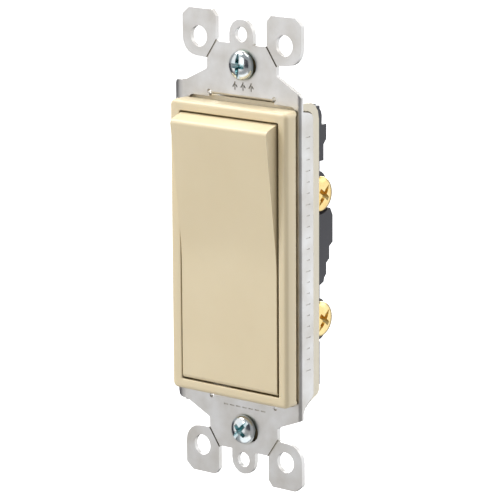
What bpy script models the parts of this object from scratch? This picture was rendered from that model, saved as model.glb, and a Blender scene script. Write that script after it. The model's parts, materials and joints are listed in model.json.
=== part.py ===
"""Single-pole rocker wall switch on a steel mounting strap.

Frame: X to the right, Y into the wall, Z up. The origin is the point midway between the two box
screws, in the plane of the strap's front face. Lengths below are millimetres, made metres by MM.
"""

import math

import bmesh
import bpy
from mathutils import Matrix, Vector

MM = 0.001

# Driving dimensions.
STRAP_T = 1.1  # steel sheet
BOX_SCREW_Z = 41.67  # 83.34 mm between the screws of a wall box
PLATE_HOLE_Z = 48.42  # 96.84 mm between the screws of a wall plate
PLATE_TAB_R = 3.35
EAR_HOLE_X, EAR_HOLE_Z, EAR_HOLE_R = 12.1, 47.0, 2.35
EAR_TOP_Z = 53.3
NECK_X = 9.8
EAR_X = 16.8
LEFT_WING_X = 16.9  # the plate's side between the ears and the left fold
WINDOW_X, WINDOW_Z = 15.15, 33.8
LEFT_X, RIGHT_X = 21.3, 16.5  # outer faces of the folded sides
LEFT_BEND_R, RIGHT_BEND_R = 4.4, 0.8
RIGHT_ROOT_X = RIGHT_X - RIGHT_BEND_R + 0.08  # the flat plate reaches here under the right bend
RIGHT_FLANGE_DEPTH, LEFT_FLANGE_DEPTH = 4.6, 4.6
TAB_X, TAB_Z = 8.7, 34.3  # folded end tabs that hold the back body
TAB_DEPTH = 8.3
SINK = 0.02  # folds lie this far below the plate's front, so that no two faces coincide

BEZEL_X, BEZEL_Z = 16.35, 33.15
BEZEL_LEFT_MORE = 0.35  # the bezel's left side is this much further out
BEZEL_FRONT, BEZEL_BACK = -4.73, -0.25
BEZEL_SIDE_BACK = -0.8  # the sides stop short of the strap
NECK_OF_BEZEL_X, NECK_OF_BEZEL_Z = 14.85, 32.7  # passes through the strap's window
OPENING_X, OPENING_Z = 14.0, 30.75
CAVITY_X, CAVITY_Z = 14.05, 31.85
LIP_BACK = -3.9

HOUSING_X, HOUSING_FRONT, HOUSING_BACK = 16.2, 1.4, 7.0
HOUSING_LEDGE_X = 18.3
GAP = 0.3

PIVOT_Y = 3.0  # paddle's trunnions
PADDLE_X = 13.6
PADDLE_END_R = 31.3  # the paddle's ends are arcs about its pivot
PADDLE_FACE = 7.845  # pivot to the middle of the face
PADDLE_SLOPE = math.radians(3.45)  # each half of the face leans this much
PADDLE_CORNER_R = 1.1
PADDLE_SIDE_R = 0.95
PADDLE_DIP_R = 60.0  # the halves meet in a shallow hollow
PADDLE_TILT = math.radians(3.45)  # off position, from the middle
TRUNNION_R, TRUNNION_END = 1.5, 14.7
POST_R, POST_BORE_R, POST_END = 2.6, 1.75, 6.6

ARM_PIVOT_Y = 13.0
ARM_TILT = math.radians(6.0)  # off position, from the middle
ARM_SLOPE = math.radians(3.0)
ARM_T = 0.8
CONTACT_Z = 9.0  # the contacts' distance from the arm's pivot

BODY_BACK = 18.3
BODY_SIDE = 13.3
SPINE_X = 7.0
SLOT_FLOOR_X = 9.2
PEDESTAL_X = 11.9
CHAMBER_X, CHAMBER_Z, CHAMBER_BACK = 6.1, 25.8, 17.0
UPPER_SCREW, LOWER_SCREW = (11.4, 12.5), (11.4, -16.0)  # (y, z) of the terminal screws
TERMINAL_HEAD_R = 4.0

SCREW_R = 1.75  # number 6 thread
MOUNT_SCREW_X = 0.5
MOUNT_SCREW_Z = {1: 41.67, -1: -41.15}  # the lower one lies off centre in its slot
GROUND_SCREW = (9.2, -26.5)

PARTS = "rocker_wall_switch"
CUTTERS = "cutters"


def start_scene():
    for old in list(bpy.data.objects):
        bpy.data.objects.remove(old)
    for name in (PARTS, CUTTERS):
        collection = bpy.data.collections.new(name)
        bpy.context.scene.collection.children.link(collection)


def material(name, colour, roughness, metallic):
    made = bpy.data.materials.new(name)
    made.use_nodes = True
    shader = made.node_tree.nodes["Principled BSDF"]
    linear = [((c / 255 + 0.055) / 1.055) ** 2.4 for c in colour]
    shader.inputs["Base Color"].default_value = (*linear, 1)
    shader.inputs["Roughness"].default_value = roughness
    shader.inputs["Metallic"].default_value = metallic
    return made


def place(mesh, name, matrix=None):
    """A new object in the cutters' collection. finish() moves it to the parts."""
    made = bpy.data.objects.new(name, mesh)
    bpy.data.collections[CUTTERS].objects.link(made)
    if matrix is not None:
        made.matrix_world = matrix
    made.hide_render = True
    made.display_type = "WIRE"
    return made


def box(name, low, high, edge=0.0):
    """A box between two corners, its edges rounded where edge is given."""
    mesh = bpy.data.meshes.new(name)
    shape = bmesh.new()
    bmesh.ops.create_cube(shape, size=1)
    size = [(b - a) * MM for a, b in zip(low, high)]
    middle = [(a + b) / 2 * MM for a, b in zip(low, high)]
    bmesh.ops.transform(shape, matrix=Matrix.Translation(middle) @ Matrix.Diagonal((*size, 1)), verts=shape.verts)
    shape.to_mesh(mesh)
    shape.free()
    made = place(mesh, name)
    if edge:
        bevel = made.modifiers.new("edges", "BEVEL")
        bevel.width, bevel.segments = edge * MM, 2
        bevel.limit_method = "ANGLE"
    return made


# Maps a flat outline's own x, y and thickness onto the object's axes.
ALONG_X = Matrix(((0, 0, 1), (1, 0, 0), (0, 1, 0))).to_4x4()  # outline (y, z), thickness along X
ALONG_Y = Matrix(((1, 0, 0), (0, 0, -1), (0, 1, 0))).to_4x4()  # outline (x, z), thickness along -Y
ALONG_Z = Matrix.Identity(4)  # outline (x, y), thickness along Z


def solid_curve(curve, name, matrix):
    """A curve made a mesh with its caps welded on, so that it can be cut and joined."""
    guide = bpy.data.objects.new(name + "_outline", curve)
    bpy.context.scene.collection.objects.link(guide)
    graph = bpy.context.evaluated_depsgraph_get()
    mesh = bpy.data.meshes.new_from_object(guide.evaluated_get(graph))
    bpy.data.objects.remove(guide)
    shape = bmesh.new()
    shape.from_mesh(mesh)
    bmesh.ops.remove_doubles(shape, verts=shape.verts, dist=1e-6)
    bmesh.ops.recalc_face_normals(shape, faces=shape.faces)
    shape.to_mesh(mesh)
    shape.free()
    return place(mesh, name, matrix)


def prism(name, outline, low, high, along):
    """A flat outline with thickness, from low to high along one axis."""
    curve = bpy.data.curves.new(name, "CURVE")
    curve.dimensions = "2D"
    curve.fill_mode = "BOTH"
    curve.extrude = (high - low) / 2 * MM
    spline = curve.splines.new("POLY")
    spline.points.add(len(outline) - 1)
    for point, (x, y) in zip(spline.points, outline):
        point.co = (x * MM, y * MM, 0, 1)
    spline.use_cyclic_u = True
    middle = (low + high) / 2 * MM
    shift = -middle if along is ALONG_Y else middle
    return solid_curve(curve, name, along @ Matrix.Translation((0, 0, shift)))


def rounded(corners, steps=3):
    """The outline of (x, y, radius) corners, each turned into an arc that touches both sides."""
    points = []
    for i, (x, y, radius) in enumerate(corners):
        here = Vector((x, y))
        if not radius:
            points.append((x, y))
            continue
        before = (Vector(corners[i - 1][:2]) - here).normalized()
        after = (Vector(corners[(i + 1) % len(corners)][:2]) - here).normalized()
        half = before.angle(after) / 2
        centre = here + (before + after).normalized() * radius / math.sin(half)
        first = here + before * radius / math.tan(half) - centre
        last = here + after * radius / math.tan(half) - centre
        turn = first.angle_signed(last)
        for step in range(steps + 1):
            spoke = first.copy()
            spoke.rotate(Matrix.Rotation(-turn * step / steps, 2))
            points.append(tuple(centre + spoke))
    return points


def arc(centre, radius, start, end, steps):
    """Points on an arc, its angles in degrees from the first axis towards the second."""
    found = []
    for step in range(steps + 1):
        angle = math.radians(start + (end - start) * step / steps)
        found.append((centre[0] + radius * math.cos(angle), centre[1] + radius * math.sin(angle)))
    return found


def cylinder(name, radius, low, high, centre, axis="X", sides=32):
    """A round bar from low to high along an axis. centre is its place on the other two axes."""
    mesh = bpy.data.meshes.new(name)
    shape = bmesh.new()
    bmesh.ops.create_cone(
        shape, cap_ends=True, segments=sides, radius1=radius * MM, radius2=radius * MM, depth=(high - low) * MM
    )
    shape.to_mesh(mesh)
    shape.free()
    middle = (low + high) / 2 * MM
    a, b = centre[0] * MM, centre[1] * MM
    if axis == "X":
        matrix = Matrix.Translation((middle, a, b)) @ Matrix.Rotation(math.pi / 2, 4, "Y")
    else:
        matrix = Matrix.Translation((a, middle, b)) @ Matrix.Rotation(math.pi / 2, 4, "X")
    return place(mesh, name, matrix)


def turned(name, profile, matrix, sides=32):
    """A (radius, height) profile turned about its own Z. It runs down the outer side, top to bottom."""
    mesh = bpy.data.meshes.new(name)
    points = [(radius * MM, 0, height * MM) for radius, height in profile]
    mesh.from_pydata(points, [(i, i + 1) for i in range(len(points) - 1)], [])
    made = place(mesh, name, matrix)
    screw = made.modifiers.new("turn", "SCREW")
    screw.steps = screw.render_steps = sides
    screw.use_merge_vertices = True
    screw.merge_threshold = 1e-6
    return made


def combine(target, others, operation="DIFFERENCE"):
    for other in others:
        step = target.modifiers.new(other.name, "BOOLEAN")
        step.operation = operation
        step.object = other
    return target


def join(target, others):
    return combine(target, others, "UNION")


def finish(made, name, look, origin=(0, 0, 0)):
    """Bakes a piece into one named part with its origin at a place in mm."""
    graph = bpy.context.evaluated_depsgraph_get()
    mesh = bpy.data.meshes.new_from_object(made.evaluated_get(graph))
    mesh.transform(Matrix.Translation(-Vector(origin) * MM) @ made.matrix_world)
    shape = bmesh.new()
    shape.from_mesh(mesh)
    bmesh.ops.remove_doubles(shape, verts=shape.verts, dist=2e-6)
    bmesh.ops.dissolve_degenerate(shape, edges=shape.edges, dist=2e-6)
    bmesh.ops.dissolve_limit(shape, angle_limit=math.radians(0.2), verts=shape.verts, edges=shape.edges)
    bmesh.ops.triangulate(shape, faces=shape.faces)
    shape.to_mesh(mesh)
    shape.free()
    mesh.name = name
    part = bpy.data.objects.new(name, mesh)
    bpy.data.collections[PARTS].objects.link(part)
    part.location = Vector(origin) * MM
    mesh.materials.clear()
    mesh.materials.append(look)
    mesh.shade_smooth()
    mesh.set_sharp_from_angle(angle=math.radians(35))
    return part


def clear_cutters():
    """Every part is baked, so the shapes it was made from can go."""
    for used in list(bpy.data.collections[CUTTERS].objects):
        bpy.data.objects.remove(used)


# Mounting strap.


def wing_end(x, end):
    """Height of the right wing's sloping end, at the top or the bottom."""
    tip_z, rise = (36.5, 3.5) if end > 0 else (36.9, 2.5)
    return tip_z + (16.2 - x) * rise / (16.2 - NECK_X)


def ear_corners(side, end):
    """Corners of one plaster ear, from the tab's side to the neck. side and end are 1 or -1."""
    wing_x = RIGHT_ROOT_X if side > 0 else LEFT_WING_X
    wing_z, wing_r = (wing_end(RIGHT_ROOT_X, end), 0) if side > 0 else (36.5, 0.3)
    neck_z = wing_end(NECK_X, end) if side > 0 else 40.0
    corners = [
        (7.2, 46.3, 0.6),
        (7.2, EAR_TOP_Z - 1.4, 0.7),
        (8.4, EAR_TOP_Z, 0.7),
        (EAR_X - 1.9, EAR_TOP_Z, 0.7),
        (EAR_X, EAR_TOP_Z - 1.6, 0.7),
        (EAR_X, 42.8, 4.0),
        (NECK_X, 42.4, 0.4),
        (NECK_X, neck_z, 0.8),
        (wing_x, wing_z, wing_r),
    ]
    return [(x * side, z * end, radius) for x, z, radius in corners]


def strap_outline():
    corners = ear_corners(1, 1) + ear_corners(1, -1)[::-1]
    corners += tab_corners(-1, 0) + ear_corners(-1, -1)
    corners += ear_corners(-1, 1)[::-1] + tab_corners(1, 180)
    return rounded(corners, 5)


def tab_corners(end, start):
    """Corners of the tab that holds a wall plate's screw, as a half turn from the angle start."""
    z = end * PLATE_HOLE_Z
    outline = [(x, y, 0) for x, y in arc((0, z), PLATE_TAB_R, start, start - 180, 8)]
    side = -end
    return [(side * PLATE_TAB_R, end * 46.3, 0), *outline, (-side * PLATE_TAB_R, end * 46.3, 0)]


def side_flange(name, side, radius, outer_x, depth, side_view):
    """A folded side of the strap: a bend and a flange, trimmed to its side view."""
    start = outer_x - radius
    section = arc((start, radius), radius, -90, 0, 6) + [(outer_x, depth), (outer_x - STRAP_T, depth)]
    if radius > STRAP_T:
        root = WINDOW_X + 0.5
        section += arc((start, radius), radius - STRAP_T, 0, -90, 6) + [(root, STRAP_T), (root, 0)]
    fold = prism(name, [(side * x, y + SINK) for x, y in section], -38.2, 38.2, ALONG_Z)
    low, high = sorted((side * 15.3, side * 23))
    return combine(fold, [prism(name + "_side", side_view, low, high, ALONG_X)], "INTERSECT")


def end_tab(end):
    """Folded tab at one end of the window, with the lip that hooks the back body."""
    corners = [
        (SINK, TAB_Z, 0.6),
        (TAB_DEPTH - STRAP_T, TAB_Z, 0),
        (TAB_DEPTH - STRAP_T, 32.5, 0),
        (TAB_DEPTH, 32.5, 0.3),
        (TAB_DEPTH, TAB_Z + STRAP_T, 0.9),
        (SINK, TAB_Z + STRAP_T, 0),
    ]
    outline = [(y, z * end) for y, z in rounded(corners)]
    return prism(f"end_tab_{end}", outline, -TAB_X, TAB_X, ALONG_X)


def mounting_strap(steel):
    strap = prism("strap_plate", strap_outline(), 0, STRAP_T, ALONG_Y)
    window = prism(
        "window",
        rounded(rectangle(WINDOW_X, WINDOW_Z, 1.2)),
        -1, 3, ALONG_Y,
    )
    combine(strap, [window])
    for end in (1, -1):
        low, high = sorted((end * 30, end * (TAB_Z + 0.6)))
        middle = box("window_middle", (-9.3, -1, low), (9.3, 3, high))
        combine(strap, [middle, screw_slot(end)])
        for side in (1, -1):
            notch = cylinder("notch", 0.55, -1, 3, (side * 9.25, end * 34.9), "Y", 12)
            hole = cylinder("ear_hole", EAR_HOLE_R, -1, 3, (side * EAR_HOLE_X, end * EAR_HOLE_Z), "Y")
            combine(strap, [notch, hole, score_line(side, end)])
        combine(strap, [cylinder("plate_hole", 1.7, -1, 3, (0, end * PLATE_HOLE_Z), "Y", 20)])
        join(strap, [end_tab(end)])
    edge = STRAP_T - SINK
    right = [(-1, -38.5), (edge, -38.5), (edge, -35.2), (1.9, -33.7), (2.9, -32.9), (4.1, -32.1)]
    right += [(RIGHT_FLANGE_DEPTH, -31.3), (RIGHT_FLANGE_DEPTH, 31.0), (4.2, 31.8), (3.2, 32.3), (edge, 32.7)]
    right += [(edge, 38.5), (-1, 38.5)]
    ground_y, ground_z = GROUND_SCREW
    left = [(-1, -37), (1.6, -37), (3.2, -35.4), (LEFT_FLANGE_DEPTH, -33.5), (LEFT_FLANGE_DEPTH, -31.6)]
    left += arc((ground_y, ground_z), 4.3, -90, 90, 8)
    left += [(LEFT_FLANGE_DEPTH, ground_z + 5.2), (LEFT_FLANGE_DEPTH, 33.5), (3.2, 35.4), (1.6, 37), (-1, 37)]
    right_fold = side_flange("right_flange", 1, RIGHT_BEND_R, RIGHT_X, RIGHT_FLANGE_DEPTH, right)
    for end, cuts in ((1, (0.02, 0.03, 0.3, 1.0, 2.0)), (-1, (0.02, 0.03, 0.06, 0.15, 0.4))):
        tip = [(x, wing_end(x, end) - cut) for x, cut in zip((15.0, 15.9, 16.25, 16.7, 18.0), cuts)]
        tip += [(18.0, 40.0), (15.0, 40.0)]
        combine(right_fold, [prism("tip_trim", [(x, z * end) for x, z in tip], -1, 9, ALONG_Y)])
    join(strap, [right_fold, side_flange("left_flange", -1, LEFT_BEND_R, LEFT_X, ground_y + 5, left)])
    corners = [(-16.9, 36.8), (-18.6, 36.7), (-19.6, 36.2), (-20.2, 35.3), (-21.0, 33.9), (-23, 31)]
    corners += [(-23, 38.5), (-16.9, 38.5)]
    for end in (1, -1):
        combine(strap, [prism("corner_trim", [(x, z * end) for x, z in corners], -1, 9, ALONG_Y)])
    combine(strap, [cylinder("ground_hole", SCREW_R + 0.15, -22, -17, GROUND_SCREW, "X")])
    return finish(strap, "mounting_strap", steel)


def screw_slot(end):
    """Slot for a box screw, round at both ends."""
    z = end * BOX_SCREW_Z
    outline = arc((2.0, z), 2.3, -90, 90, 6) + arc((-0.9, z), 2.3, 90, 270, 6)
    return prism("screw_slot", outline, -1, 3, ALONG_Y)


def score_line(side, end):
    """Groove where a plaster ear snaps off, across its root."""
    a, b = Vector((7.0, 46.6)), Vector((10.2, 41.9))
    across = (b - a).normalized().orthogonal() * 0.22
    corners = [a - across, b - across, b + across, a + across]
    return prism("score", [(p.x * side, p.y * end) for p in corners], -1, 0.25, ALONG_Y)


# Bezel frame and the housing behind the strap.


def rectangle(x, z, radius=0.0):
    """Corners of a rectangle about the origin."""
    return [(x * sx, z * sz, radius) for sx, sz in ((-1, -1), (1, -1), (1, 1), (-1, 1))]


def bezel_frame(ivory):
    outline = [(x - BEZEL_LEFT_MORE * (x < 0), z, radius) for x, z, radius in rectangle(BEZEL_X, BEZEL_Z, 1.3)]
    frame = prism("bezel", rounded(outline, 4), BEZEL_FRONT, BEZEL_BACK, ALONG_Y)
    edge = frame.modifiers.new("front_edge", "BEVEL")
    edge.width, edge.segments, edge.limit_method = 0.7 * MM, 4, "ANGLE"
    edge.angle_limit = math.radians(60)
    for side in (1, -1):
        low, high = sorted((side * (NECK_OF_BEZEL_X + GAP), side * 20))
        combine(frame, [box("side_gap", (low, BEZEL_SIDE_BACK, -40), (high, 0, 40))])
    neck = prism("neck", rounded(rectangle(NECK_OF_BEZEL_X, NECK_OF_BEZEL_Z, 0.8)), -1.5, STRAP_T, ALONG_Y)
    join(frame, [neck])
    cavity = box("cavity", (-CAVITY_X, LIP_BACK, -CAVITY_Z), (CAVITY_X, 9, CAVITY_Z))
    opening = prism("opening", rounded(rectangle(OPENING_X, OPENING_Z, 0.3)), -9, 0, ALONG_Y)
    combine(frame, [cavity, opening])
    return finish(frame, "bezel_frame", ivory)


def front_housing(cream):
    """The moulding behind the strap. It carries the paddle's trunnions and closes the back body."""
    front, back = HOUSING_FRONT, HOUSING_BACK
    top = [(front, 34.5), (4.3, 34.3), (5.6, 33.6), (6.6, 32.3), (back, 30.4)]
    bottom = [(back, -30.9), (6.4, -31.8), (4.9, -32.4), (3.2, -33.3), (2.2, -34.1), (front, -34.9)]
    housing = prism("housing_block", bottom + top, -HOUSING_X, HOUSING_X, ALONG_X)
    ledge_view = [(3.5, -31.0), (6.8, -31.0), (6.8, 31.0), (3.5, 31.0)]
    ledge = prism("left_ledge", ledge_view, -HOUSING_LEDGE_X, -HOUSING_X + 1, ALONG_X)
    join(housing, [ledge])
    pocket_x = RIGHT_X - STRAP_T - GAP
    pocket_y = RIGHT_FLANGE_DEPTH + GAP
    pocket_view = [(0, -35.8), (1.4, -35.6), (2.2, -34.1), (3.15, -33.3), (4.35, -32.4), (pocket_y, -31.4)]
    pocket_view += [(pocket_y, 31.1), (4.42, 32.05), (3.3, 32.6), (1.2, 33.0), (0, 33.2)]
    combine(housing, [prism("flange_pocket", pocket_view, pocket_x, 20, ALONG_X)])
    for end in (1, -1):
        low, high = sorted((end * 33.9, end * 36))
        combine(housing, [box("tab_gap", (-9.7, 0, low), (9.7, 9, high))])
    combine(housing, [box("cavity", (-CAVITY_X, 0, -CAVITY_Z), (CAVITY_X, 9, CAVITY_Z))])
    for end in (1, -1):
        low, high = sorted((end * 29.0, end * 36.0))
        combine(housing, [box("lug_seat", (-9.1, 4.8, low), (9.1, 9, high))])
    for side in (1, -1):
        low, high = sorted((side * 13.0, side * (TRUNNION_END + GAP)))
        bore = cylinder("bearing", TRUNNION_R + 0.12, low, high, (PIVOT_Y, 0), "X")
        lead_in = box("lead_in", (low, PIVOT_Y, -1.55), (high, 9, 1.55))
        combine(housing, [bore, lead_in])
    return finish(housing, "front_housing", cream)


# Paddle and its plunger. Their own frame has its origin on the pivot and is upright in the middle position.


def face_depth(z, inset=0.0):
    return -(PADDLE_FACE - inset) - abs(z) * math.tan(PADDLE_SLOPE)


def paddle_section():
    """The paddle's side view: a face of two halves, and ends that are arcs about the pivot."""
    back, corner_z = -4.0, 29.75
    corner = (face_depth(corner_z), corner_z)
    start = math.degrees(math.atan2(math.sqrt(PADDLE_END_R**2 - back**2), back))
    end = math.degrees(math.atan2(29.95, corner[0] + 1.9))
    top = [(y, z, 0) for y, z in arc((0, 0), PADDLE_END_R, start, end, 4)]
    top.append((*corner, PADDLE_CORNER_R))
    bottom = [(y, -z, radius) for y, z, radius in reversed(top)]
    middle = (face_depth(0), 0, PADDLE_DIP_R)
    return rounded([*top, middle, *bottom], 6)


def rocker_paddle(ivory):
    paddle = prism("paddle_shell", paddle_section(), -PADDLE_X, PADDLE_X, ALONG_X)
    edge = paddle.modifiers.new("edges", "BEVEL")
    edge.width, edge.segments, edge.limit_method = PADDLE_SIDE_R * MM, 5, "ANGLE"
    edge.angle_limit = math.radians(60)
    inside = [(face_depth(z, 1.5), z) for z in (29.2, 0, -29.2)] + [(0, -29.9), (0, 29.9)]
    combine(paddle, [prism("paddle_inside", inside, -12.2, 12.2, ALONG_X)])
    pieces = [
        cylinder("post", POST_R, -6.9, POST_END, (0, 0), "Y"),
        box("cross_rib", (-12.9, -7.0, -0.6), (12.9, -1.5, 0.6)),
        box("long_rib", (-0.6, -7.2, -29.8), (0.6, -4.6, 29.8)),
    ]
    for side in (1, -1):
        low, high = sorted((side * 12.2, side * PADDLE_X))
        cheek = [(-6.5, -4.5, 0), (0.4, -2.6, 0), (2.2, -1.6, 0.8), (2.2, 1.6, 0.8), (0.4, 2.6, 0), (-6.5, 4.5, 0)]
        pieces.append(prism("cheek", rounded(cheek), low, high, ALONG_X))
        low, high = sorted((side * 12.6, side * TRUNNION_END))
        pieces.append(cylinder("trunnion", TRUNNION_R, low, high, (0, 0), "X"))
    join(paddle, pieces)
    combine(paddle, [cylinder("spring_bore", POST_BORE_R, -4.6, 9, (0, 0), "Y")])
    part = finish(paddle, "rocker_paddle", ivory)
    return to_paddle_frame(part)


def to_paddle_frame(part):
    """Sets a part made about the pivot into the off position."""
    part.location = (0, PIVOT_Y * MM, 0)
    part.rotation_euler = (PADDLE_TILT, 0, 0)
    return part


ABOUT_Y = Matrix.Rotation(-math.pi / 2, 4, "X")  # a turned piece's own Z becomes +Y


def plunger(nylon):
    profile = [(0, 9.3), (0.55, 9.15), (0.95, 8.7), (1.05, 7.9), (1.6, 7.3), (1.6, 3.9), (0, 3.9)]
    return to_paddle_frame(finish(turned("plunger_body", profile, ABOUT_Y), "plunger", nylon))


def toggle_spring(steel):
    turns, low, high, radius, wire = 5.5, -4.2, 3.35, 1.3, 0.2
    curve = bpy.data.curves.new("spring", "CURVE")
    curve.dimensions = "3D"
    curve.bevel_depth = wire * MM
    curve.bevel_resolution = 1
    curve.use_fill_caps = True
    spline = curve.splines.new("POLY")
    count = int(turns * 12)
    spline.points.add(count)
    for i, point in enumerate(spline.points):
        part, angle = i / count, 2 * math.pi * turns * i / count
        rise = low + (high - low) * (part - math.sin(2 * math.pi * part) / 9)
        point.co = (radius * math.cos(angle) * MM, rise * MM, radius * math.sin(angle) * MM, 1)
    return to_paddle_frame(finish(solid_curve(curve, "spring", Matrix.Identity(4)), "toggle_spring", steel))


# Contact arm. Its own frame has its origin on the arm's pivot, level.


def arm_depth(z):
    """Depth of the arm's front face from its pivot."""
    return -0.5 + abs(z) * math.tan(ARM_SLOPE)


def to_arm_frame(part):
    part.location = (0, ARM_PIVOT_Y * MM, 0)
    part.rotation_euler = (-ARM_TILT, 0, 0)
    return part


def contact_arm(brass):
    stations = (6.2, 0, -10.9)
    front = [(arm_depth(z), z) for z in stations]
    outline = front + [(y + ARM_T, z) for y, z in reversed(front)]
    arm = prism("arm_plate", outline, -3.4, 3.4, ALONG_X)
    join(arm, [cylinder("arm_pin", 0.55, -5.2, 5.2, (0, 0), "X", 16)])
    combine(arm, [cylinder("rivet_hole", 0.85, -3, 4, (0, -CONTACT_Z), "Y", 16)])
    return to_arm_frame(finish(arm, "contact_arm", brass))


def moving_contact(silver):
    profile = [(0, 0.6), (1.25, 0.55), (1.6, 0.3), (1.6, 0), (0.65, 0), (0.65, -1.0), (1.15, -1.0), (1.15, -1.3), (0, -1.35)]
    lean = Matrix.Rotation(ARM_SLOPE, 4, "X")
    seat = arm_depth(CONTACT_Z) + ARM_T + 0.1
    matrix = Matrix.Translation((0, seat * MM, -CONTACT_Z * MM)) @ lean @ ABOUT_Y
    return to_arm_frame(finish(turned("rivet", profile, matrix, 20), "moving_contact", silver))


# Terminals.


def terminal_screw(name, brass, y, z):
    """Binding screw, its axis along X and its head outwards."""
    head = TERMINAL_HEAD_R
    profile = [(0, 2.2), (2.0, 2.1), (3.2, 1.75), (head - 0.2, 1.1), (head, 0.6), (head, 0)]
    profile += [(SCREW_R, 0), (SCREW_R, -4.2), (1.2, -4.8), (0, -4.8)]
    seat = 12.25
    matrix = Matrix.Translation((seat * MM, y * MM, z * MM)) @ Matrix.Rotation(math.pi / 2, 4, "Y")
    screw = turned(name + "_body", profile, matrix)
    slot = box("slot", (seat + 1.3, y - 0.45, z - 5), (seat + 3, y + 0.45, z + 5))
    combine(screw, [slot, *cross(seat, y, z)])
    return finish(screw, name, brass, (seat, y, z))


def cross(seat, y, z):
    wide = box("cross_y", (seat + 0.5, y - 1.9, z - 0.45), (seat + 3, y + 1.9, z + 0.45))
    tall = box("cross_z", (seat + 0.5, y - 0.45, z - 1.9), (seat + 3, y + 0.45, z + 1.9))
    return [wide, tall]


def terminal_base(name, z, inner_low, inner_high, leg_z, shelf):
    """Screw plate and the leg that carries it through the side wall. shelf is the wire's side, 1 up, -1 down."""
    plate = box(name + "_plate", (11.0, 9.2, z - 2.9), (PEDESTAL_X, 14.2, z + 2.9))
    leg = box("leg", (-4.7, 13.4, inner_low), (PEDESTAL_X - 0.1, 14.2, inner_high))
    wall_low, wall_high = sorted((leg_z, leg_z + 0.8 * shelf))
    wall = box("wall", (-4.7, 13.4, wall_low), (4.7, 16.8, wall_high))
    edge = inner_high if shelf > 0 else inner_low
    grip_low, grip_high = sorted((edge - 0.4 * shelf, edge + 0.4 * shelf))
    grip = box("grip", (-4.7, 9.4, grip_low), (4.7, 14.2, grip_high))
    join(plate, [leg, wall, grip])
    return combine(plate, [cylinder("tap", SCREW_R + 0.15, 9, 14, (UPPER_SCREW[0], z), "X")])


def line_terminal(brass):
    base = terminal_base("line", UPPER_SCREW[1], 10.5, 15.3, 10.5, 1)
    pieces = [box("strip", (-4.7, 16.1, -1.6), (4.7, 16.8, 11.3))]
    for side in (1, -1):
        low, high = sorted((side * 3.9, side * 4.7))
        pieces.append(box("cradle", (low, 12.0, -1.6), (high, 16.6, 1.6)))
    join(base, pieces)
    notch = [box("notch_gap", (-6, 11, -0.7), (6, ARM_PIVOT_Y, 0.7))]
    notch.append(cylinder("notch_round", 0.7, -6, 6, (ARM_PIVOT_Y, 0), "X", 16))
    combine(base, notch)
    return finish(base, "line_terminal", brass)


def load_terminal(brass):
    base = terminal_base("load", LOWER_SCREW[1], -17.8, -12.9, -12.9, -1)
    join(base, [box("strip", (-4.7, 16.1, -13.7), (4.7, 16.8, -6.6))])
    combine(base, [cylinder("contact_hole", 0.85, 15, 18, (0, -CONTACT_Z + 0.2), "Y", 16)])
    return finish(base, "load_terminal", brass)


def fixed_contact(silver):
    profile = [(0, 0.42), (1.3, 0.35), (1.7, 0.1), (1.7, -0.05), (0.65, -0.05), (0.65, -0.7), (0, -0.7)]
    towards_arm = Matrix.Rotation(math.pi / 2, 4, "X")
    matrix = Matrix.Translation((0, 15.95 * MM, (-CONTACT_Z + 0.2) * MM)) @ towards_arm
    return finish(turned("button", profile, matrix, 20), "fixed_contact", silver)


def ribbon(points, thickness):
    """Outline of a thin strip along a centre line."""
    left, right = [], []
    for i, point in enumerate(points):
        here = Vector(point)
        before = Vector(points[max(i - 1, 0)])
        after = Vector(points[min(i + 1, len(points) - 1)])
        across = (after - before).normalized().orthogonal() * thickness / 2
        left.append(tuple(here + across))
        right.append(tuple(here - across))
    return left + right[::-1]


def push_in_spring(name, steel, base, end):
    """Leaf that bites a wire pushed in from behind. base is the wire's z and end is 1 up, -1 down."""
    line = [(16.0, 6.3), (11.0, 6.3), (10.1, 5.9), (9.8, 5.0), (10.3, 4.1), (12.4, 2.6), (14.6, 1.3)]
    outline = ribbon([(y, base + end * z) for y, z in line], 0.4)
    return finish(prism(name + "_leaf", outline, -2.8, 2.8, ALONG_X), name, steel)


# Back body.


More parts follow.
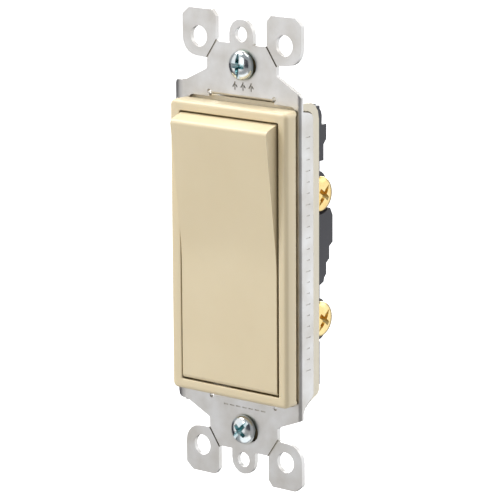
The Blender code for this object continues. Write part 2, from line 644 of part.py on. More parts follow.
def back_body(dark):
    body = box("spine", (-SPINE_X, 8.0, -27.2), (SPINE_X, BODY_BACK, 27.2), 0.5)
    top = [(11.7, 28.1), (11.8, 30.2), (11.5, 31.2), (10.7, 32.2), (9.4, 33.1), (8.6, 33.1)]
    core = [(8.6, -26.0), (14.6, -26.0), (15.7, -24.6), (15.7, 26.4), (13.4, 28.1)] + top
    top_block = [(8.6, 20.0), (12.4, 20.0), (12.4, 23.6), (13.4, 24.7), (13.4, 28.1)] + top
    mid_block = [
        (8.6, -8.1), (11.2, -8.1), (12.4, -7.6), (12.7, -6.6), (13.4, -5.9), (13.4, -3.4), (14.5, -2.6),
        (14.5, 0.2), (15.7, 1.0), (15.7, 7.2), (14.8, 8.9), (13.4, 8.4), (12.2, 8.0), (8.6, 7.9),
    ]
    upper, lower = UPPER_SCREW[1], LOWER_SCREW[1]
    upper_pedestal = [(8.6, 7.6), (15.1, 7.6)] + arc((12.0, upper + 1.9), 3.1, 0, 90, 6) + [(8.6, upper + 5.0)]
    lower_pedestal = [(8.6, lower - 5.2)] + arc((12.2, lower - 2.3), 2.9, -90, 0, 6)
    lower_pedestal += arc((11.9, lower + 1.3), 3.2, 0, 90, 6) + [(8.6, lower + 4.5)]
    left_core = [(8.6, -20.8), (12.6, -20.8), (15.0, -19.4)] + [(15.0, 9.6), (14.3, 11.0)]
    left_core += [(12.4, 12.2), (12.4, 20.0)] + top_block[2:]
    pieces = [
        prism("core", core, -SLOT_FLOOR_X, SLOT_FLOOR_X, ALONG_X),
        prism("left_core", left_core, -BODY_SIDE, -SLOT_FLOOR_X + 0.5, ALONG_X),
        prism("top_block", top_block, SLOT_FLOOR_X - 0.5, BODY_SIDE, ALONG_X),
        prism("mid_block", mid_block, SLOT_FLOOR_X - 0.5, BODY_SIDE, ALONG_X),
        prism("upper_pedestal", upper_pedestal, SLOT_FLOOR_X - 0.5, PEDESTAL_X, ALONG_X),
        prism("lower_pedestal", lower_pedestal, SLOT_FLOOR_X - 0.5, PEDESTAL_X, ALONG_X),
        box("front_flange", (-15.0, 7.3, -30.2), (15.0, 8.8, 33.0)),
    ]
    for end in (1, -1):
        low, high = sorted((end * 29.6, end * 33.8))
        pieces.append(box("lug", (-8.3, 5.1, low), (8.3, 6.9, high)))
        low, high = sorted((end * 29.6, end * 32.1))
        pieces.append(box("lug_root", (-8.3, 5.1, low), (8.3, 8.0, high)))
    for side in (1, -1):
        low, high = sorted((side * (CAVITY_X + 0.15), side * (TRUNNION_END - 0.05)))
        pieces.append(box("keeper", (low, PIVOT_Y + TRUNNION_R + 0.35, -1.3), (high, 8.0, 1.3)))
    join(body, pieces)
    cutters = [
        box("chamber", (-CHAMBER_X, 4, -CHAMBER_Z), (CHAMBER_X, CHAMBER_BACK, CHAMBER_Z)),
        box("hook_gap", (-TAB_X - 0.4, 7.1, 32.1), (TAB_X + 0.4, 9, 34)),
    ]
    for z, leg_low, leg_high in ((upper, 10.5, 15.3), (lower, -17.8, -12.9)):
        reach = TERMINAL_HEAD_R + GAP
        cutters.append(box("head_gap", (12.0, 7, z - reach), (16, 9, z + reach)))
        cutters.append(box("plate_seat", (10.7, 8.9, z - 3.1), (14, 14.5, z + 3.1)))
        cutters.append(box("leg_slot", (5.5, 12.9, leg_low - 0.3), (PEDESTAL_X + 0.4, 14.5, leg_high + 0.3)))
        cutters.append(cylinder("screw_bore", SCREW_R + 0.35, 5.5, 13, (UPPER_SCREW[0], z), "X", 20))
    for end, wire in ((1, 17.1), (-1, -19.6)):
        cutters.append(cylinder("wire_hole", 1.15, 16, 20, (0, wire), "Y", 16))
        cutters.append(box("release_slot", (-1.4, 16, wire + end * 3.6 - 0.6), (1.4, 20, wire + end * 3.6 + 0.6)))
    combine(body, cutters)
    return finish(body, "back_body", dark)


# Box screws, their retainers and the ground screw.


def mounting_screw(name, zinc, end):
    """Box screw lying in its slot, its head towards -Y."""
    x, z = MOUNT_SCREW_X, MOUNT_SCREW_Z[end]
    profile = [(0, 2.1), (1.0, 2.05), (2.0, 1.85), (2.8, 1.45), (3.2, 0.95), (3.3, 0.6), (3.3, 0)]
    profile += [(SCREW_R, 0), (SCREW_R, -10.2), (1.2, -10.9), (0, -10.9)]
    towards_front = Matrix.Rotation(math.pi / 2, 4, "X")
    matrix = Matrix.Translation((x * MM, -0.15 * MM, z * MM)) @ towards_front
    screw = turned(name + "_body", profile, matrix)
    front = -3.2
    cutters = [
        box("slot", (x - 4, front, z - 0.4), (x + 4, -1.3, z + 0.4)),
        box("cross_x", (x - 1.7, front, z - 0.4), (x + 1.7, -0.5, z + 0.4)),
        box("cross_z", (x - 0.4, front, z - 1.7), (x + 0.4, -0.5, z + 1.7)),
    ]
    combine(screw, cutters)
    return finish(screw, name, zinc, (x, -0.15, z))


def screw_retainer(name, fibre, end):
    """Square washer behind the strap that keeps a box screw in its slot."""
    x, z = MOUNT_SCREW_X, MOUNT_SCREW_Z[end]
    low, high = STRAP_T + 0.2, STRAP_T + 1.0
    washer = box(name + "_plate", (x - 4.0, low, z - 4.0), (x + 4.0, high, z + 4.0))
    combine(washer, [cylinder("washer_hole", SCREW_R + 0.15, 0, 4, (x, z), "Y", 20)])
    return finish(washer, name, fibre)


def ground_screw(green):
    y, z = GROUND_SCREW
    profile = [(0, 2.1), (2.6, 1.9), (3.9, 1.1), (3.9, 0), (SCREW_R, 0), (SCREW_R, -2.6), (1.2, -3.2), (0, -3.2)]
    seat = -LEFT_X - 0.2
    matrix = Matrix.Translation((seat * MM, y * MM, z * MM)) @ Matrix.Rotation(-math.pi / 2, 4, "Y")
    screw = turned("ground_body", profile, matrix)
    combine(screw, [
        box("slot", (seat - 3, y - 0.45, z - 4.2), (seat - 1.25, y + 0.45, z + 4.2)),
        box("cross_y", (seat - 3, y - 1.9, z - 0.45), (seat - 0.6, y + 1.9, z + 0.45)),
        box("cross_z", (seat - 3, y - 0.45, z - 1.9), (seat - 0.6, y + 0.45, z + 1.9)),
    ])
    return finish(screw, "ground_screw", green, (seat, y, z))


def main():
    start_scene()
    ivory = material("ivory_plastic", (222, 206, 172), 0.35, 0.0)
    cream = material("cream_plastic", (224, 218, 202), 0.4, 0.0)
    dark = material("charcoal_plastic", (58, 56, 60), 0.5, 0.0)
    steel = material("galvanised_steel", (200, 200, 200), 0.4, 1.0)
    zinc = material("zinc_plate", (205, 212, 212), 0.25, 1.0)
    brass = material("brass", (226, 190, 110), 0.25, 1.0)
    silver = material("contact_silver", (215, 215, 212), 0.3, 1.0)
    spring_steel = material("spring_steel", (150, 152, 156), 0.3, 1.0)
    green = material("green_plate", (60, 120, 70), 0.35, 0.6)
    nylon = material("natural_nylon", (235, 232, 222), 0.4, 0.0)
    fibre = material("vulcanised_fibre", (170, 150, 120), 0.8, 0.0)

    mounting_strap(steel)
    bezel_frame(ivory)
    front_housing(cream)
    rocker_paddle(ivory)
    plunger(nylon)
    toggle_spring(spring_steel)
    contact_arm(brass)
    moving_contact(silver)
    line_terminal(brass)
    load_terminal(brass)
    fixed_contact(silver)
    terminal_screw("line_screw", brass, *UPPER_SCREW)
    terminal_screw("load_screw", brass, *LOWER_SCREW)
    push_in_spring("line_push_in_spring", spring_steel, 16.2, 1)
    push_in_spring("load_push_in_spring", spring_steel, -18.7, -1)
    back_body(dark)
    for place_name, end in (("top", 1), ("bottom", -1)):
        mounting_screw("mounting_screw_" + place_name, zinc, end)
        screw_retainer("screw_retainer_" + place_name, fibre, end)
    ground_screw(green)
    clear_cutters()


main()
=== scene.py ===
"""Looks of the rocker wall switch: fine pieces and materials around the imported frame."""

import json
import math

import bmesh
import bpy
from mathutils import Matrix, Vector


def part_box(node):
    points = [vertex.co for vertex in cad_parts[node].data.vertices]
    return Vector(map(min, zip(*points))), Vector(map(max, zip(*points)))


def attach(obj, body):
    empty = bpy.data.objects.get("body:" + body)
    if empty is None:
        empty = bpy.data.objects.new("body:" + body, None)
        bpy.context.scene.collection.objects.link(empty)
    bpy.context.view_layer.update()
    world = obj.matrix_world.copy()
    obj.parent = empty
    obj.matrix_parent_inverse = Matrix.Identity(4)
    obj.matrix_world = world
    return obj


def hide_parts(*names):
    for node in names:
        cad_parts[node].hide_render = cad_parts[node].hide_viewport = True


MM = 0.001

# Sizes in mm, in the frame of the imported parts.
ROCKER_PIVOT_Y = 3.0
ROCKER_TILT = math.radians(3.45)  # the rocker's lean at rest, which its spring shares
RIGHT_FOLD_X = 16.5  # outer face of the strap's right fold, which carries the small ticks
BEZEL_EDGE, BEZEL_LEFT_EDGE = 0.95, 0.6  # radii of the bezel's front edges
BEZEL_CORNER = 1.35
CORNER_STEPS = 10
THREAD_PITCH, THREAD_DEPTH = 0.794, 0.26
SCREW_SIDES, SHANK_R = 36, 1.75
MARK_DEPTH = 0.16


# Camera and lights.


def camera():
    """A long lens, from the right of the switch and a little above it."""
    azimuth, elevation, roll = math.radians(39.2), math.radians(12.43), math.radians(-0.32)
    distance, side_shift, rise = 0.7067, 0.00172, 0.00002
    back = Vector((
        math.sin(azimuth) * math.cos(elevation),
        -math.cos(azimuth) * math.cos(elevation),
        math.sin(elevation),
    ))
    right = (-back).cross(Vector((0, 0, 1))).normalized()
    up = right.cross(-back)
    place = back * distance + right * side_shift + up * rise
    across = right * math.cos(roll) + up * math.sin(roll)
    upright = up * math.cos(roll) - right * math.sin(roll)
    data = bpy.data.cameras.new("camera")
    data.lens, data.sensor_width = 228.7, 36.0
    data.clip_start, data.clip_end = 0.05, 50
    made = bpy.data.objects.new("camera", data)
    bpy.context.scene.collection.objects.link(made)
    made.matrix_world = Matrix((
        (across.x, upright.x, back.x, place.x),
        (across.y, upright.y, back.y, place.y),
        (across.z, upright.z, back.z, place.z),
        (0, 0, 0, 1),
    ))
    bpy.context.scene.camera = made


def area_light(name, place, size, power, colour):
    """A rectangular light that faces the origin."""
    data = bpy.data.lights.new(name, "AREA")
    data.shape, data.energy, data.color = "RECTANGLE", power, colour
    data.size, data.size_y = size
    made = bpy.data.objects.new(name, data)
    bpy.context.scene.collection.objects.link(made)
    made.location = place
    made.rotation_euler = (-Vector(place)).to_track_quat("-Z", "Y").to_euler()


def lights():
    """Soft boxes round the switch, each a name, a place, a size, a power in watts and a colour."""
    white, cool = (1, 1, 1), (0.95, 0.975, 1)
    boxes = [
        ("top_light", (-0.5, -0.3, 0.75), (0.6, 0.5), 6.5, white),
        ("key_light", (-0.1, -1.0, 0.3), (0.5, 0.5), 1.3, white),
        ("front_light", (-0.66, -0.8, 0.1), (1.2, 1.1), 2.85, white),
        ("side_light", (0.62, 0.72, -0.12), (1.3, 2.0), 7.2, cool),
        ("low_light", (-0.05, -0.4, -0.75), (1.0, 0.7), 2, white),
        ("back_light", (0.2, 0.75, 0.6), (1.0, 0.8), 2, white),
        ("back_left_light", (-0.62, 0.76, 0.25), (0.9, 0.5), 6, white),
        ("over_light", (0.12, 0.16, 0.9), (0.5, 0.4), 5, white),
    ]
    for box in boxes:
        area_light(*box)


def surroundings():
    """A white world to the camera, and a dimmer one to the surfaces."""
    world = bpy.data.worlds.new("studio")
    world.use_nodes = True
    nodes, links = world.node_tree.nodes, world.node_tree.links
    nodes.clear()
    out = nodes.new("ShaderNodeOutputWorld")
    seen, lit = nodes.new("ShaderNodeBackground"), nodes.new("ShaderNodeBackground")
    seen.inputs["Strength"].default_value = 1.0
    seen.inputs["Color"].default_value = (1, 1, 1, 1)
    lit.inputs["Color"].default_value = (0.97, 0.98, 1, 1)
    lit.inputs["Strength"].default_value = 0.4
    path, mix = nodes.new("ShaderNodeLightPath"), nodes.new("ShaderNodeMixShader")
    links.new(path.outputs["Is Camera Ray"], mix.inputs[0])
    links.new(lit.outputs[0], mix.inputs[1])
    links.new(seen.outputs[0], mix.inputs[2])
    links.new(mix.outputs[0], out.inputs[0])
    bpy.context.scene.world = world


def studio():
    """A plain pale floor, far enough below that no shadow reaches the view."""
    bpy.ops.mesh.primitive_plane_add(size=12, location=(0, 2.5, -0.35))
    floor = bpy.context.object
    floor.name = "floor"
    look = bpy.data.materials.new("floor")
    look.use_nodes = True
    shader = look.node_tree.nodes["Principled BSDF"]
    shader.inputs["Base Color"].default_value = (0.9, 0.9, 0.9, 1)
    shader.inputs["Roughness"].default_value = 1
    shader.inputs["Emission Color"].default_value = (1, 1, 1, 1)
    shader.inputs["Emission Strength"].default_value = 1
    floor.data.materials.append(look)
    floor.visible_diffuse = floor.visible_glossy = False


def dark_card(name, place, size):
    """A dark card that only shiny surfaces see."""
    bpy.ops.mesh.primitive_grid_add(x_subdivisions=4, y_subdivisions=4, size=1, location=place)
    card = bpy.context.object
    card.name, card.scale = name, (*size, 1)
    card.rotation_euler = (-Vector(place)).to_track_quat("Z", "Y").to_euler()
    look = bpy.data.materials.new(name)
    look.use_nodes = True
    shader = look.node_tree.nodes["Principled BSDF"]
    shader.inputs["Base Color"].default_value = (0.02, 0.02, 0.03, 1)
    shader.inputs["Roughness"].default_value = 1
    card.data.materials.append(look)
    card.visible_camera = card.visible_diffuse = card.visible_shadow = False


# Materials.


def linear(rgb):
    """A display colour from 0 to 255 as the renderer's own numbers."""
    return (*[((c / 255 + 0.055) / 1.055) ** 2.4 for c in rgb], 1)


def finish_of(name, colour, roughness, metallic=0.0):
    """A new material and its shader."""
    made = bpy.data.materials.new(name)
    made.use_nodes = True
    shader = made.node_tree.nodes["Principled BSDF"]
    shader.inputs["Base Color"].default_value = linear(colour)
    shader.inputs["Roughness"].default_value = roughness
    shader.inputs["Metallic"].default_value = metallic
    return made, shader


def noise(made, scale, detail=3.0, stretch=(1, 1, 1)):
    """A noise from 0 to 1 over the piece's own coordinates, in turns per metre."""
    nodes, links = made.node_tree.nodes, made.node_tree.links
    place, mapping = nodes.new("ShaderNodeTexCoord"), nodes.new("ShaderNodeMapping")
    found = nodes.new("ShaderNodeTexNoise")
    links.new(place.outputs["Object"], mapping.inputs["Vector"])
    mapping.inputs["Scale"].default_value = stretch
    links.new(mapping.outputs[0], found.inputs["Vector"])
    found.inputs["Scale"].default_value = scale
    found.inputs["Detail"].default_value = detail
    return found.outputs["Fac"]


def spread(made, source, low, high):
    """The source's 0 to 1 made low to high."""
    nodes, links = made.node_tree.nodes, made.node_tree.links
    span = nodes.new("ShaderNodeMapRange")
    span.inputs["To Min"].default_value, span.inputs["To Max"].default_value = low, high
    links.new(source, span.inputs["Value"])
    return span.outputs[0]


def two_tones(made, source, first, second):
    """A colour that drifts between two as the source goes from 0.3 to 0.7."""
    nodes, links = made.node_tree.nodes, made.node_tree.links
    ramp = nodes.new("ShaderNodeValToRGB")
    start, end = ramp.color_ramp.elements
    start.position, end.position = 0.3, 0.7
    start.color, end.color = linear(first), linear(second)
    links.new(source, ramp.inputs[0])
    return ramp.outputs[0]


def bump(made, source, height):
    """A relief as deep as a height in metres where the source is 1."""
    nodes, links = made.node_tree.nodes, made.node_tree.links
    relief = nodes.new("ShaderNodeBump")
    relief.inputs["Distance"].default_value = height
    relief.inputs["Strength"].default_value = 1.0
    links.new(source, relief.inputs["Height"])
    return relief.outputs[0]


def painted_shade_in_hollows(made, colour, shade_tint, reach):
    """The colour with painted shade: darkened towards a shade colour in hollows and gaps, by
    ambient occlusion up to a reach in mm.
    """
    nodes, links = made.node_tree.nodes, made.node_tree.links
    openness, mix = nodes.new("ShaderNodeAmbientOcclusion"), nodes.new("ShaderNodeMix")
    openness.samples = 8
    openness.inputs["Distance"].default_value = reach * MM
    mix.data_type = "RGBA"
    shade = nodes.new("ShaderNodeMapRange")
    shade.inputs["From Min"].default_value, shade.inputs["From Max"].default_value = 0.25, 0.85
    links.new(openness.outputs["AO"], shade.inputs["Value"])
    links.new(shade.outputs[0], mix.inputs["Factor"])
    mix.inputs["A"].default_value = linear(shade_tint)
    links.new(colour, mix.inputs["B"])
    return mix.outputs["Result"]


def ivory_plastic():
    made, shader = finish_of("ivory_plastic", (232, 216, 184), 0.32)
    links = made.node_tree.links
    cloud = noise(made, 60)
    colour = two_tones(made, cloud, (226, 209, 173), (230, 214, 179))
    # Painted shade: the ivory darkens to olive brown in gaps and hollows, standing in for their
    # shadow.
    links.new(painted_shade_in_hollows(made, colour, (150, 130, 88), 0.8), shader.inputs["Base Color"])
    grain = noise(made, 5000, 2)
    links.new(bump(made, grain, 0.000006), shader.inputs["Normal"])
    links.new(spread(made, cloud, 0.28, 0.36), shader.inputs["Roughness"])
    shader.inputs["Subsurface Weight"].default_value = 0.06
    shader.inputs["Subsurface Radius"].default_value = (0.0012, 0.0009, 0.0005)
    return made


def galvanised_steel():
    made, shader = finish_of("galvanised_steel", (214, 213, 211), 0.38, 1.0)
    links = made.node_tree.links
    cloud = noise(made, 160, 4)
    colour = two_tones(made, cloud, (198, 194, 188), (222, 221, 220))
    # Painted shade: the steel darkens to brown grey in gaps, score lines and hollows, standing in
    # for their shadow.
    links.new(painted_shade_in_hollows(made, colour, (140, 132, 108), 0.9), shader.inputs["Base Color"])
    grain = noise(made, 900, 5, (1, 1, 0.25))
    links.new(bump(made, grain, 0.00001), shader.inputs["Normal"])
    links.new(spread(made, cloud, 0.32, 0.46), shader.inputs["Roughness"])
    return made


def zinc_plate():
    made, shader = finish_of("zinc_plate", (222, 226, 228), 0.16, 1.0)
    links = made.node_tree.links
    cloud = noise(made, 500)
    colour = two_tones(made, cloud, (205, 220, 226), (232, 232, 230))
    # Painted shade: the zinc turns a darker teal in the screw recesses, standing in for their
    # shade.
    links.new(painted_shade_in_hollows(made, colour, (150, 192, 195), 1.5), shader.inputs["Base Color"])
    links.new(bump(made, cloud, 0.00001), shader.inputs["Normal"])
    links.new(spread(made, cloud, 0.12, 0.24), shader.inputs["Roughness"])
    return made


def brass():
    made, shader = finish_of("brass", (246, 222, 160), 0.2, 1.0)
    links = made.node_tree.links
    cloud = noise(made, 400)
    links.new(two_tones(made, cloud, (232, 198, 126), (246, 222, 160)), shader.inputs["Base Color"])
    links.new(bump(made, cloud, 0.000008), shader.inputs["Normal"])
    links.new(spread(made, cloud, 0.16, 0.3), shader.inputs["Roughness"])
    return made


def moulded(name, colour, other, roughness, grain_size=2500, grain_depth=0.00001):
    """Moulded plastic or fibre: two close colours and a fine grain."""
    made, shader = finish_of(name, colour, roughness)
    links = made.node_tree.links
    cloud = noise(made, 90)
    links.new(two_tones(made, cloud, colour, other), shader.inputs["Base Color"])
    grain = noise(made, grain_size)
    links.new(bump(made, grain, grain_depth), shader.inputs["Normal"])
    links.new(spread(made, cloud, roughness - 0.05, roughness + 0.07), shader.inputs["Roughness"])
    return made


def plated(name, colour, other, roughness):
    """A bare or plated metal: two close colours and a faint ripple."""
    made, shader = finish_of(name, colour, roughness, 1.0)
    links = made.node_tree.links
    cloud = noise(made, 350)
    links.new(two_tones(made, cloud, colour, other), shader.inputs["Base Color"])
    links.new(bump(made, cloud, 0.000008), shader.inputs["Normal"])
    links.new(spread(made, cloud, roughness - 0.05, roughness + 0.08), shader.inputs["Roughness"])
    return made


# Pieces.


def shown(name, mesh, look, body, node, matrix=None):
    """A finished piece: its mesh in its material, riding on a body and standing for a CAD node."""
    made = bpy.data.objects.new(name, mesh)
    bpy.context.scene.collection.objects.link(made)
    if matrix is not None:
        mesh.transform(matrix)
    mesh.materials.clear()
    mesh.materials.append(looks[look])
    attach(made, body)
    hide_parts(node)


def smooth(mesh, degrees):
    """The mesh shaded smooth, except at edges that turn by more than some degrees."""
    mesh.shade_smooth()
    mesh.set_sharp_from_angle(angle=math.radians(degrees))
    return mesh


def helper(mesh):
    """An object that holds a mesh only while modifiers work on it."""
    made = bpy.data.objects.new("helper", mesh)
    bpy.context.scene.collection.objects.link(made)
    return made


def baked(made, cutters=()):
    """The object's mesh with its modifiers applied. The object and its cutters go."""
    graph = bpy.context.evaluated_depsgraph_get()
    mesh = bpy.data.meshes.new_from_object(made.evaluated_get(graph))
    for used in (made, *cutters):
        bpy.data.objects.remove(used)
    return mesh


def cut(made, cutters):
    """The object, with each cutter to be taken out of it when it is baked."""
    for cutter in cutters:
        step = made.modifiers.new("cut", "BOOLEAN")
        step.operation, step.object, step.solver = "DIFFERENCE", cutter, "EXACT"
    return made


def cad_copy(node):
    """A CAD node's mesh welded into one skin with whole flat faces."""
    mesh = frame["nodes"][node].data.copy()
    shape = bmesh.new()
    shape.from_mesh(mesh)
    bmesh.ops.remove_doubles(shape, verts=shape.verts, dist=1e-6)
    bmesh.ops.dissolve_limit(
        shape, angle_limit=math.radians(0.3), verts=shape.verts, edges=shape.edges)
    shape.to_mesh(mesh)
    shape.free()
    return mesh


def even_faces(mesh):
    """The mesh shaded so that each large flat face stays even up to its rounded edges."""
    made = helper(mesh)
    weighted = made.modifiers.new("normals", "WEIGHTED_NORMAL")
    weighted.keep_sharp, weighted.weight, weighted.thresh = True, 100, 0.01
    return baked(made)


def softened(node, body, look, width, cutters=()):
    """A CAD node with its marks cut in and its edges rounded to a width in mm."""
    made = cut(helper(cad_copy(node)), cutters)
    edges = made.modifiers.new("edges", "BEVEL")
    edges.width, edges.segments, edges.limit_method = width * MM, 2, "ANGLE"
    edges.angle_limit = math.radians(30)
    edges.use_clamp_overlap = True
    mesh = even_faces(smooth(baked(made, cutters), 50))
    shown(node + "_piece", mesh, look, body, node)


def ring_points(half_x, half_z, radius):
    """Points of a rounded rectangle about the origin, anticlockwise from the upper right corner."""
    found = []
    for quarter, (sx, sz) in enumerate(((1, 1), (-1, 1), (-1, -1), (1, -1))):
        for step in range(CORNER_STEPS + 1):
            angle = math.pi / 2 * (quarter + step / CORNER_STEPS)
            x = sx * (half_x - radius) + radius * math.cos(angle)
            found.append((x, sz * (half_z - radius) + radius * math.sin(angle)))
    return found


def mesh_of(shape):
    """A new mesh from a bmesh, with its faces turned outwards."""
    bmesh.ops.recalc_face_normals(shape, faces=shape.faces)
    mesh = bpy.data.meshes.new("skin")
    shape.to_mesh(mesh)
    shape.free()
    return mesh


def skin_between(shape, first, second):
    """Faces between two rings, either of which may be a single point."""
    count = max(len(first), len(second))
    for i in range(count):
        j = (i + 1) % count
        a, b = first[i % len(first)], first[j % len(first)]
        c, d = second[j % len(second)], second[i % len(second)]
        corners = [v for k, v in enumerate((a, b, c, d)) if v not in (a, b, c, d)[:k]]
        shape.faces.new(corners)


def looped_skin(rings):
    """A skin through rings with equal counts of points, from the last ring back to the first."""
    shape = bmesh.new()
    made = [[shape.verts.new(Vector(p) * MM) for p in ring] for ring in rings]
    for first, second in zip(made, made[1:] + made[:1]):
        skin_between(shape, first, second)
    return mesh_of(shape)


def bezel():
    """The bezel as one skin of rounded rectangles: up its neck, round its outside and front edge,
    and through the opening. Its left side lies further out than its right side."""
    low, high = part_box("bezel_frame")
    half_x, half_z, front, back = high[0] / MM, high[2] / MM, low[1] / MM, high[1] / MM
    left_more = -low[0] / MM - half_x
    neck_x, neck_z = half_x - 1.5, half_z - 0.45
    open_x, open_z, open_edge = half_x - 2.35, half_z - 2.4, 0.28
    cavity_x, cavity_z, lip = half_x - 2.3, half_z - 1.3, front + 0.83
    side_back, end_back = -0.8, -0.3

    def ring(x, z, radius, y):
        return [(px, y, pz) for px, pz in ring_points(x, z, radius)]

    def rear(x, z, radius, lift, more=0.0, tuck=0.0, side_lift=0.0):
        """A ring near the rear edge, which is higher and rounder along the two long sides."""
        found = []
        for px, pz in ring_points(x, z, radius):
            share = min(max((z - abs(pz)) / radius, 0), 1)
            y = end_back + (side_back - end_back - side_lift) * share - lift
            found.append((px - more * (px < 0) - math.copysign(tuck * share, px), y, pz))
        return found

    def front_edge(turn):
        """A ring of the rounded front edge, at a turn from the side towards the face."""
        found = []
        inner = ring_points(half_x - 1, half_z - 1, BEZEL_CORNER - 1)
        for (px, pz), (ix, iz) in zip(ring_points(half_x, half_z, BEZEL_CORNER), inner):
            out_x, out_z = px - ix, pz - iz
            width = BEZEL_EDGE + (BEZEL_LEFT_EDGE - BEZEL_EDGE) * max(0, -out_x)
            inset = width * (1 - math.cos(turn))
            y = front + width * (1 - math.sin(turn))
            found.append((px - out_x * inset - left_more * (px < 0), y, pz - out_z * inset))
        return found

    neck_radius = 0.8
    rings = [
        ring(neck_x, neck_z, neck_radius, back),
        ring(neck_x, neck_z, neck_radius, -0.2),
        rear(neck_x, neck_z, neck_radius, 0.0),
        rear(half_x - 0.25, half_z - 0.2, BEZEL_CORNER - 0.2, 0.0, left_more, 0.6),
        rear(half_x - 0.07, half_z - 0.05, BEZEL_CORNER - 0.05, 0.07, left_more, 0.22, 0.2),
        rear(half_x - 0.02, half_z - 0.01, BEZEL_CORNER - 0.01, 0.15, left_more, 0.07, 0.4),
        rear(half_x, half_z, BEZEL_CORNER, 0.25, left_more, 0.0, 0.7),
    ]
    rings += [front_edge(math.pi / 2 * step / 8) for step in range(9)]
    for step in range(5):
        turn = math.pi / 2 * step / 4
        wider = open_edge * (1 - math.sin(turn))
        depth = open_edge * (1 - math.cos(turn))
        rings.append(ring(open_x + wider, open_z + wider, 0.32 + wider, front + depth))
    rings += [
        ring(open_x, open_z, 0.3, lip),
        ring(cavity_x, cavity_z, 0.25, lip + 0.01),
        ring(cavity_x, cavity_z, 0.25, back),
    ]
    shown("bezel_piece", smooth(looped_skin(rings), 40), "ivory_plastic", "base", "bezel_frame")


def ring_of(shape, radii, height):
    """Points round the Z axis at a height, one for each radius."""
    found = []
    for i, radius in enumerate(radii):
        angle = 2 * math.pi * i / len(radii)
        x, y = radius * math.cos(angle), radius * math.sin(angle)
        found.append(shape.verts.new((x * MM, y * MM, height * MM)))
    return found


def threaded_skin(head, length):
    """A screw's skin, head up: its head's profile, a shank with a helix along it, and its tip."""
    shape = bmesh.new()
    rings = []
    for radius, height in head:
        if radius == 0:
            rings.append([shape.verts.new((0, 0, height * MM))])
        else:
            rings.append(ring_of(shape, [radius] * SCREW_SIDES, height))
    rows = int(length / THREAD_PITCH * 8)
    for row in range(rows + 1):
        height = -length * row / rows
        depth = THREAD_DEPTH * min(1, row / 6, (rows - row) / 10 + 0.15)
        taper = THREAD_DEPTH * 0.6 * (1 - min(1, (rows - row) / 8))
        radii = []
        for i in range(SCREW_SIDES):
            wave = (height / THREAD_PITCH + i / SCREW_SIDES) % 1
            radii.append(SHANK_R - depth * abs(2 * wave - 1) - taper)
        rings.append(ring_of(shape, radii, height))
    rings.append(ring_of(shape, [SHANK_R * 0.55] * SCREW_SIDES, -length - 0.45))
    rings.append([shape.verts.new((0, 0, (-length - 0.5) * MM))])
    for first, second in zip(rings, rings[1:]):
        skin_between(shape, first, second)
    return mesh_of(shape)


def wing(upper, lower, top, low, angle):
    """A tapered cutter of a screw's recess. upper and lower are its half sizes at its two ends."""
    shape = bmesh.new()
    bmesh.ops.create_cube(shape, size=2)
    for v in shape.verts:
        (half_long, half_wide), height = (upper, top) if v.co.z > 0 else (lower, low)
        v.co = Vector((v.co.x * half_long, v.co.y * half_wide, height)) * MM
    bmesh.ops.rotate(shape, verts=shape.verts, matrix=Matrix.Rotation(angle, 3, "Z"))
    return helper(mesh_of(shape))


def domed_head(radius, height, brim):
    """Head profile from the crown down: a dome, its brim and its flat underside."""
    dome = [(0, height)]
    for step in range(1, 11):
        angle = math.pi / 2 * step / 10
        dome.append((radius * math.sin(angle), brim + (height - brim) * math.cos(angle)))
    return dome + [(radius, brim * 0.35), (radius - 0.12, 0.05), (radius - 0.3, 0.0)]


def screw(node, look, head, length, towards, slot_degrees, slot_deep):
    """A screw with a slot and a cross in its head, in the place of a CAD screw, whose name its body
    shares. head is (radius, height, brim), and towards is the way the head faces."""
    low, high = (Vector(p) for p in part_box(node))
    middle = (low + high) / 2
    axis = Vector(towards)
    crown = Vector([(high if a > 0 else low)[i] if a else middle[i] for i, a in enumerate(towards)])
    radius, height, brim = head
    seat = crown - axis * height * MM
    slot = math.radians(slot_degrees)
    skin = smooth(threaded_skin(domed_head(radius, height, brim), length), 30)
    wings = [
        wing((2.25, 0.56), (0.55, 0.28), height + 0.3, height - 1.75, slot),
        wing((2.25, 0.57), (0.55, 0.29), height + 0.31, height - 1.74, slot + math.pi / 2),
        wing((radius + 1, 0.42), (radius + 1, 0.4), height + 1, height - slot_deep, slot),
    ]
    mesh = smooth(baked(cut(helper(skin), wings), wings), 30)
    matrix = Matrix.Translation(seat) @ axis.to_track_quat("Z", "Y").to_matrix().to_4x4()
    shown(node + "_piece", mesh, look, node, node, matrix)


def screws():
    for node, degrees in (("mounting_screw_top", 88), ("mounting_screw_bottom", 48)):
        screw(node, "zinc_plate", (3.3, 2.1, 0.6), 10.4, (0, -1, 0), degrees, 0.75)
    for node in ("line_screw", "load_screw"):
        screw(node, "brass", (4.0, 2.2, 0.8), 4.3, (1, 0, 0), 52, 0.45)
    screw("ground_screw", "green_plate", (3.9, 2.1, 1.0), 2.7, (-1, 0, 0), 30, 0.8)


def spring_wire():
    """The toggle spring as a round wire, its end turns closed up."""
    turns, steps, wire_r, coil_r = 5.5, 176, 0.2, 1.3
    start, span = -4.2, 7.55  # along the spring, from the rocker's pivot
    curve = bpy.data.curves.new("spring", "CURVE")
    curve.dimensions, curve.bevel_depth, curve.bevel_resolution = "3D", wire_r * MM, 4
    curve.use_fill_caps = True
    spline = curve.splines.new("POLY")
    spline.points.add(steps)
    for i, point in enumerate(spline.points):
        part, angle = i / steps, 2 * math.pi * turns * i / steps
        rise = start + span * (part - math.sin(2 * math.pi * part) / 9)
        own = Vector((coil_r * math.cos(angle), rise, coil_r * math.sin(angle)))
        own.rotate(Matrix.Rotation(ROCKER_TILT, 3, "X"))
        point.co = (*((own + Vector((0, ROCKER_PIVOT_Y, 0))) * MM), 1)
    mesh = smooth(baked(helper(curve)), 60)
    shown("toggle_spring_piece", mesh, "spring_steel", "rocker", "toggle_spring")


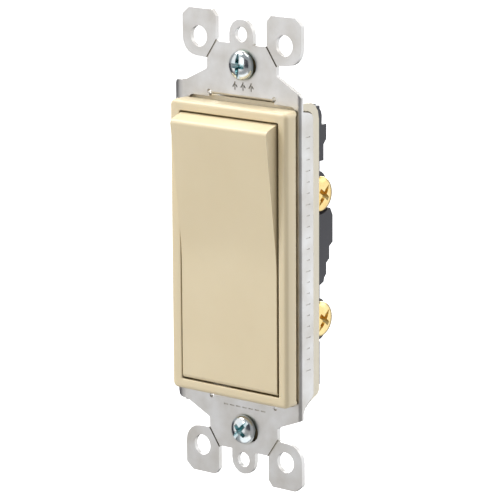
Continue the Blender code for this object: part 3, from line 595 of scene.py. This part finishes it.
def cutting_prism(outline, low, high, to_world):
    """A flat outline with thickness as a cutter. to_world turns (x, y, height) to a place."""
    shape = bmesh.new()
    bottom = [shape.verts.new(Vector(to_world(x, y, low)) * MM) for x, y in outline]
    top = [shape.verts.new(Vector(to_world(x, y, high)) * MM) for x, y in outline]
    count = len(outline)
    for i in range(count):
        j = (i + 1) % count
        shape.faces.new((bottom[i], bottom[j], top[j], top[i]))
    shape.faces.new(bottom[::-1])
    shape.faces.new(top)
    return helper(mesh_of(shape))


def strap():
    """The strap with generic stamped marks: arrows above, dashes below, ticks along the fold."""
    stroke = [(-0.13, -0.95), (0.13, -0.95), (0.13, 0.95), (-0.13, 0.95)]
    head = [(0, 0.95), (0.75, -0.25), (0.5, -0.4), (0, 0.45), (-0.5, -0.4), (-0.75, -0.25)]
    dash = [(-0.6, -0.14), (0.6, -0.14), (0.6, 0.14), (-0.6, 0.14)]
    arrow_z, dash_z, tick_y = 36.9, -36.2, 2.7
    cutters = []

    def stamp(outline, centre_x, centre_z, depth):
        cutters.append(cutting_prism(
            outline, -1, depth, lambda x, y, h: (x + centre_x, h, y + centre_z)))

    for shift in (-2.3, 0, 2.3):
        for outline in (stroke, head):
            stamp(outline, 0.5 + shift, arrow_z, MARK_DEPTH + 0.01 * len(outline))
    for i in range(-3, 4):
        stamp(dash, 0.4 + 1.8 * i, dash_z, MARK_DEPTH)
    for i in range(22):
        half_long = 0.5 if i % 3 else 0.75
        tick = [(-half_long, -0.12), (half_long, -0.12), (half_long, 0.12), (-half_long, 0.12)]
        cutters.append(cutting_prism(
            tick, -1, 0.1, lambda x, y, h, i=i: (RIGHT_FOLD_X - h, tick_y + x, 27.0 - 2.5 * i + y)))
    softened("mounting_strap", "base", "galvanised_steel", 0.13, cutters)


def pieces():
    bezel()
    strap()
    screws()
    spring_wire()
    paddle = even_faces(smooth(cad_copy("rocker_paddle"), 50))
    shown("rocker_paddle_piece", paddle, "ivory_plastic", "rocker", "rocker_paddle")
    softened("front_housing", "base", "cream_plastic", 0.18)
    softened("back_body", "base", "charcoal_plastic", 0.16)
    for node in ("line_terminal", "load_terminal"):
        softened(node, "base", "brass", 0.08)
    for node in ("line_push_in_spring", "load_push_in_spring"):
        softened(node, "base", "spring_steel", 0.08)
    for node in ("screw_retainer_top", "screw_retainer_bottom"):
        softened(node, "base", "fibre", 0.1)
    softened("contact_arm", "contact_arm", "brass", 0.08)


def dress():
    """Each CAD node that still shows gets the material of its slot in the record."""
    for part in frame["record"]["subparts"]:
        node = frame["nodes"][part["node"]]
        node.data.materials.clear()
        node.data.materials.append(looks[part["material_slot"]])


with open("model.json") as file:
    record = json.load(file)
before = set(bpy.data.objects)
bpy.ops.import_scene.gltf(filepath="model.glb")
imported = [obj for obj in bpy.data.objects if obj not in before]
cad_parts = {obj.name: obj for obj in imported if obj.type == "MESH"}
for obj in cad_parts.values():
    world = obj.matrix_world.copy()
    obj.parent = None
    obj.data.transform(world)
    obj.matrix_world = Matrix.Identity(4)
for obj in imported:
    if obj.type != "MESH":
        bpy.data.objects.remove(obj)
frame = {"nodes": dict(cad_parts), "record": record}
bpy.context.scene.view_settings.view_transform = "Standard"
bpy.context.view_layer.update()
camera()
lights()
surroundings()
studio()
dark_card("dark_card", (0.17, -0.58, 0.13), (0.45, 0.5))
dark_card("left_card", (-0.6, 0.12, -0.24), (0.8, 0.5))
looks = {
    "galvanised_steel": galvanised_steel(),
    "ivory_plastic": ivory_plastic(),
    "cream_plastic": moulded("cream_plastic", (244, 235, 214), (239, 229, 205), 0.4),
    "charcoal_plastic": moulded("charcoal_plastic", (52, 50, 57), (46, 44, 51), 0.42),
    "zinc_plate": zinc_plate(),
    "brass": brass(),
    "contact_silver": plated("contact_silver", (225, 225, 222), (205, 205, 205), 0.25),
    "spring_steel": plated("spring_steel", (170, 172, 176), (140, 142, 148), 0.28),
    "green_plate": plated("green_plate", (70, 140, 80), (50, 110, 62), 0.28),
    "nylon": moulded("nylon", (236, 233, 224), (230, 226, 214), 0.4),
    "fibre": moulded("fibre", (168, 148, 118), (150, 130, 100), 0.8, 1500, 0.00003),
}
dress()
pieces()
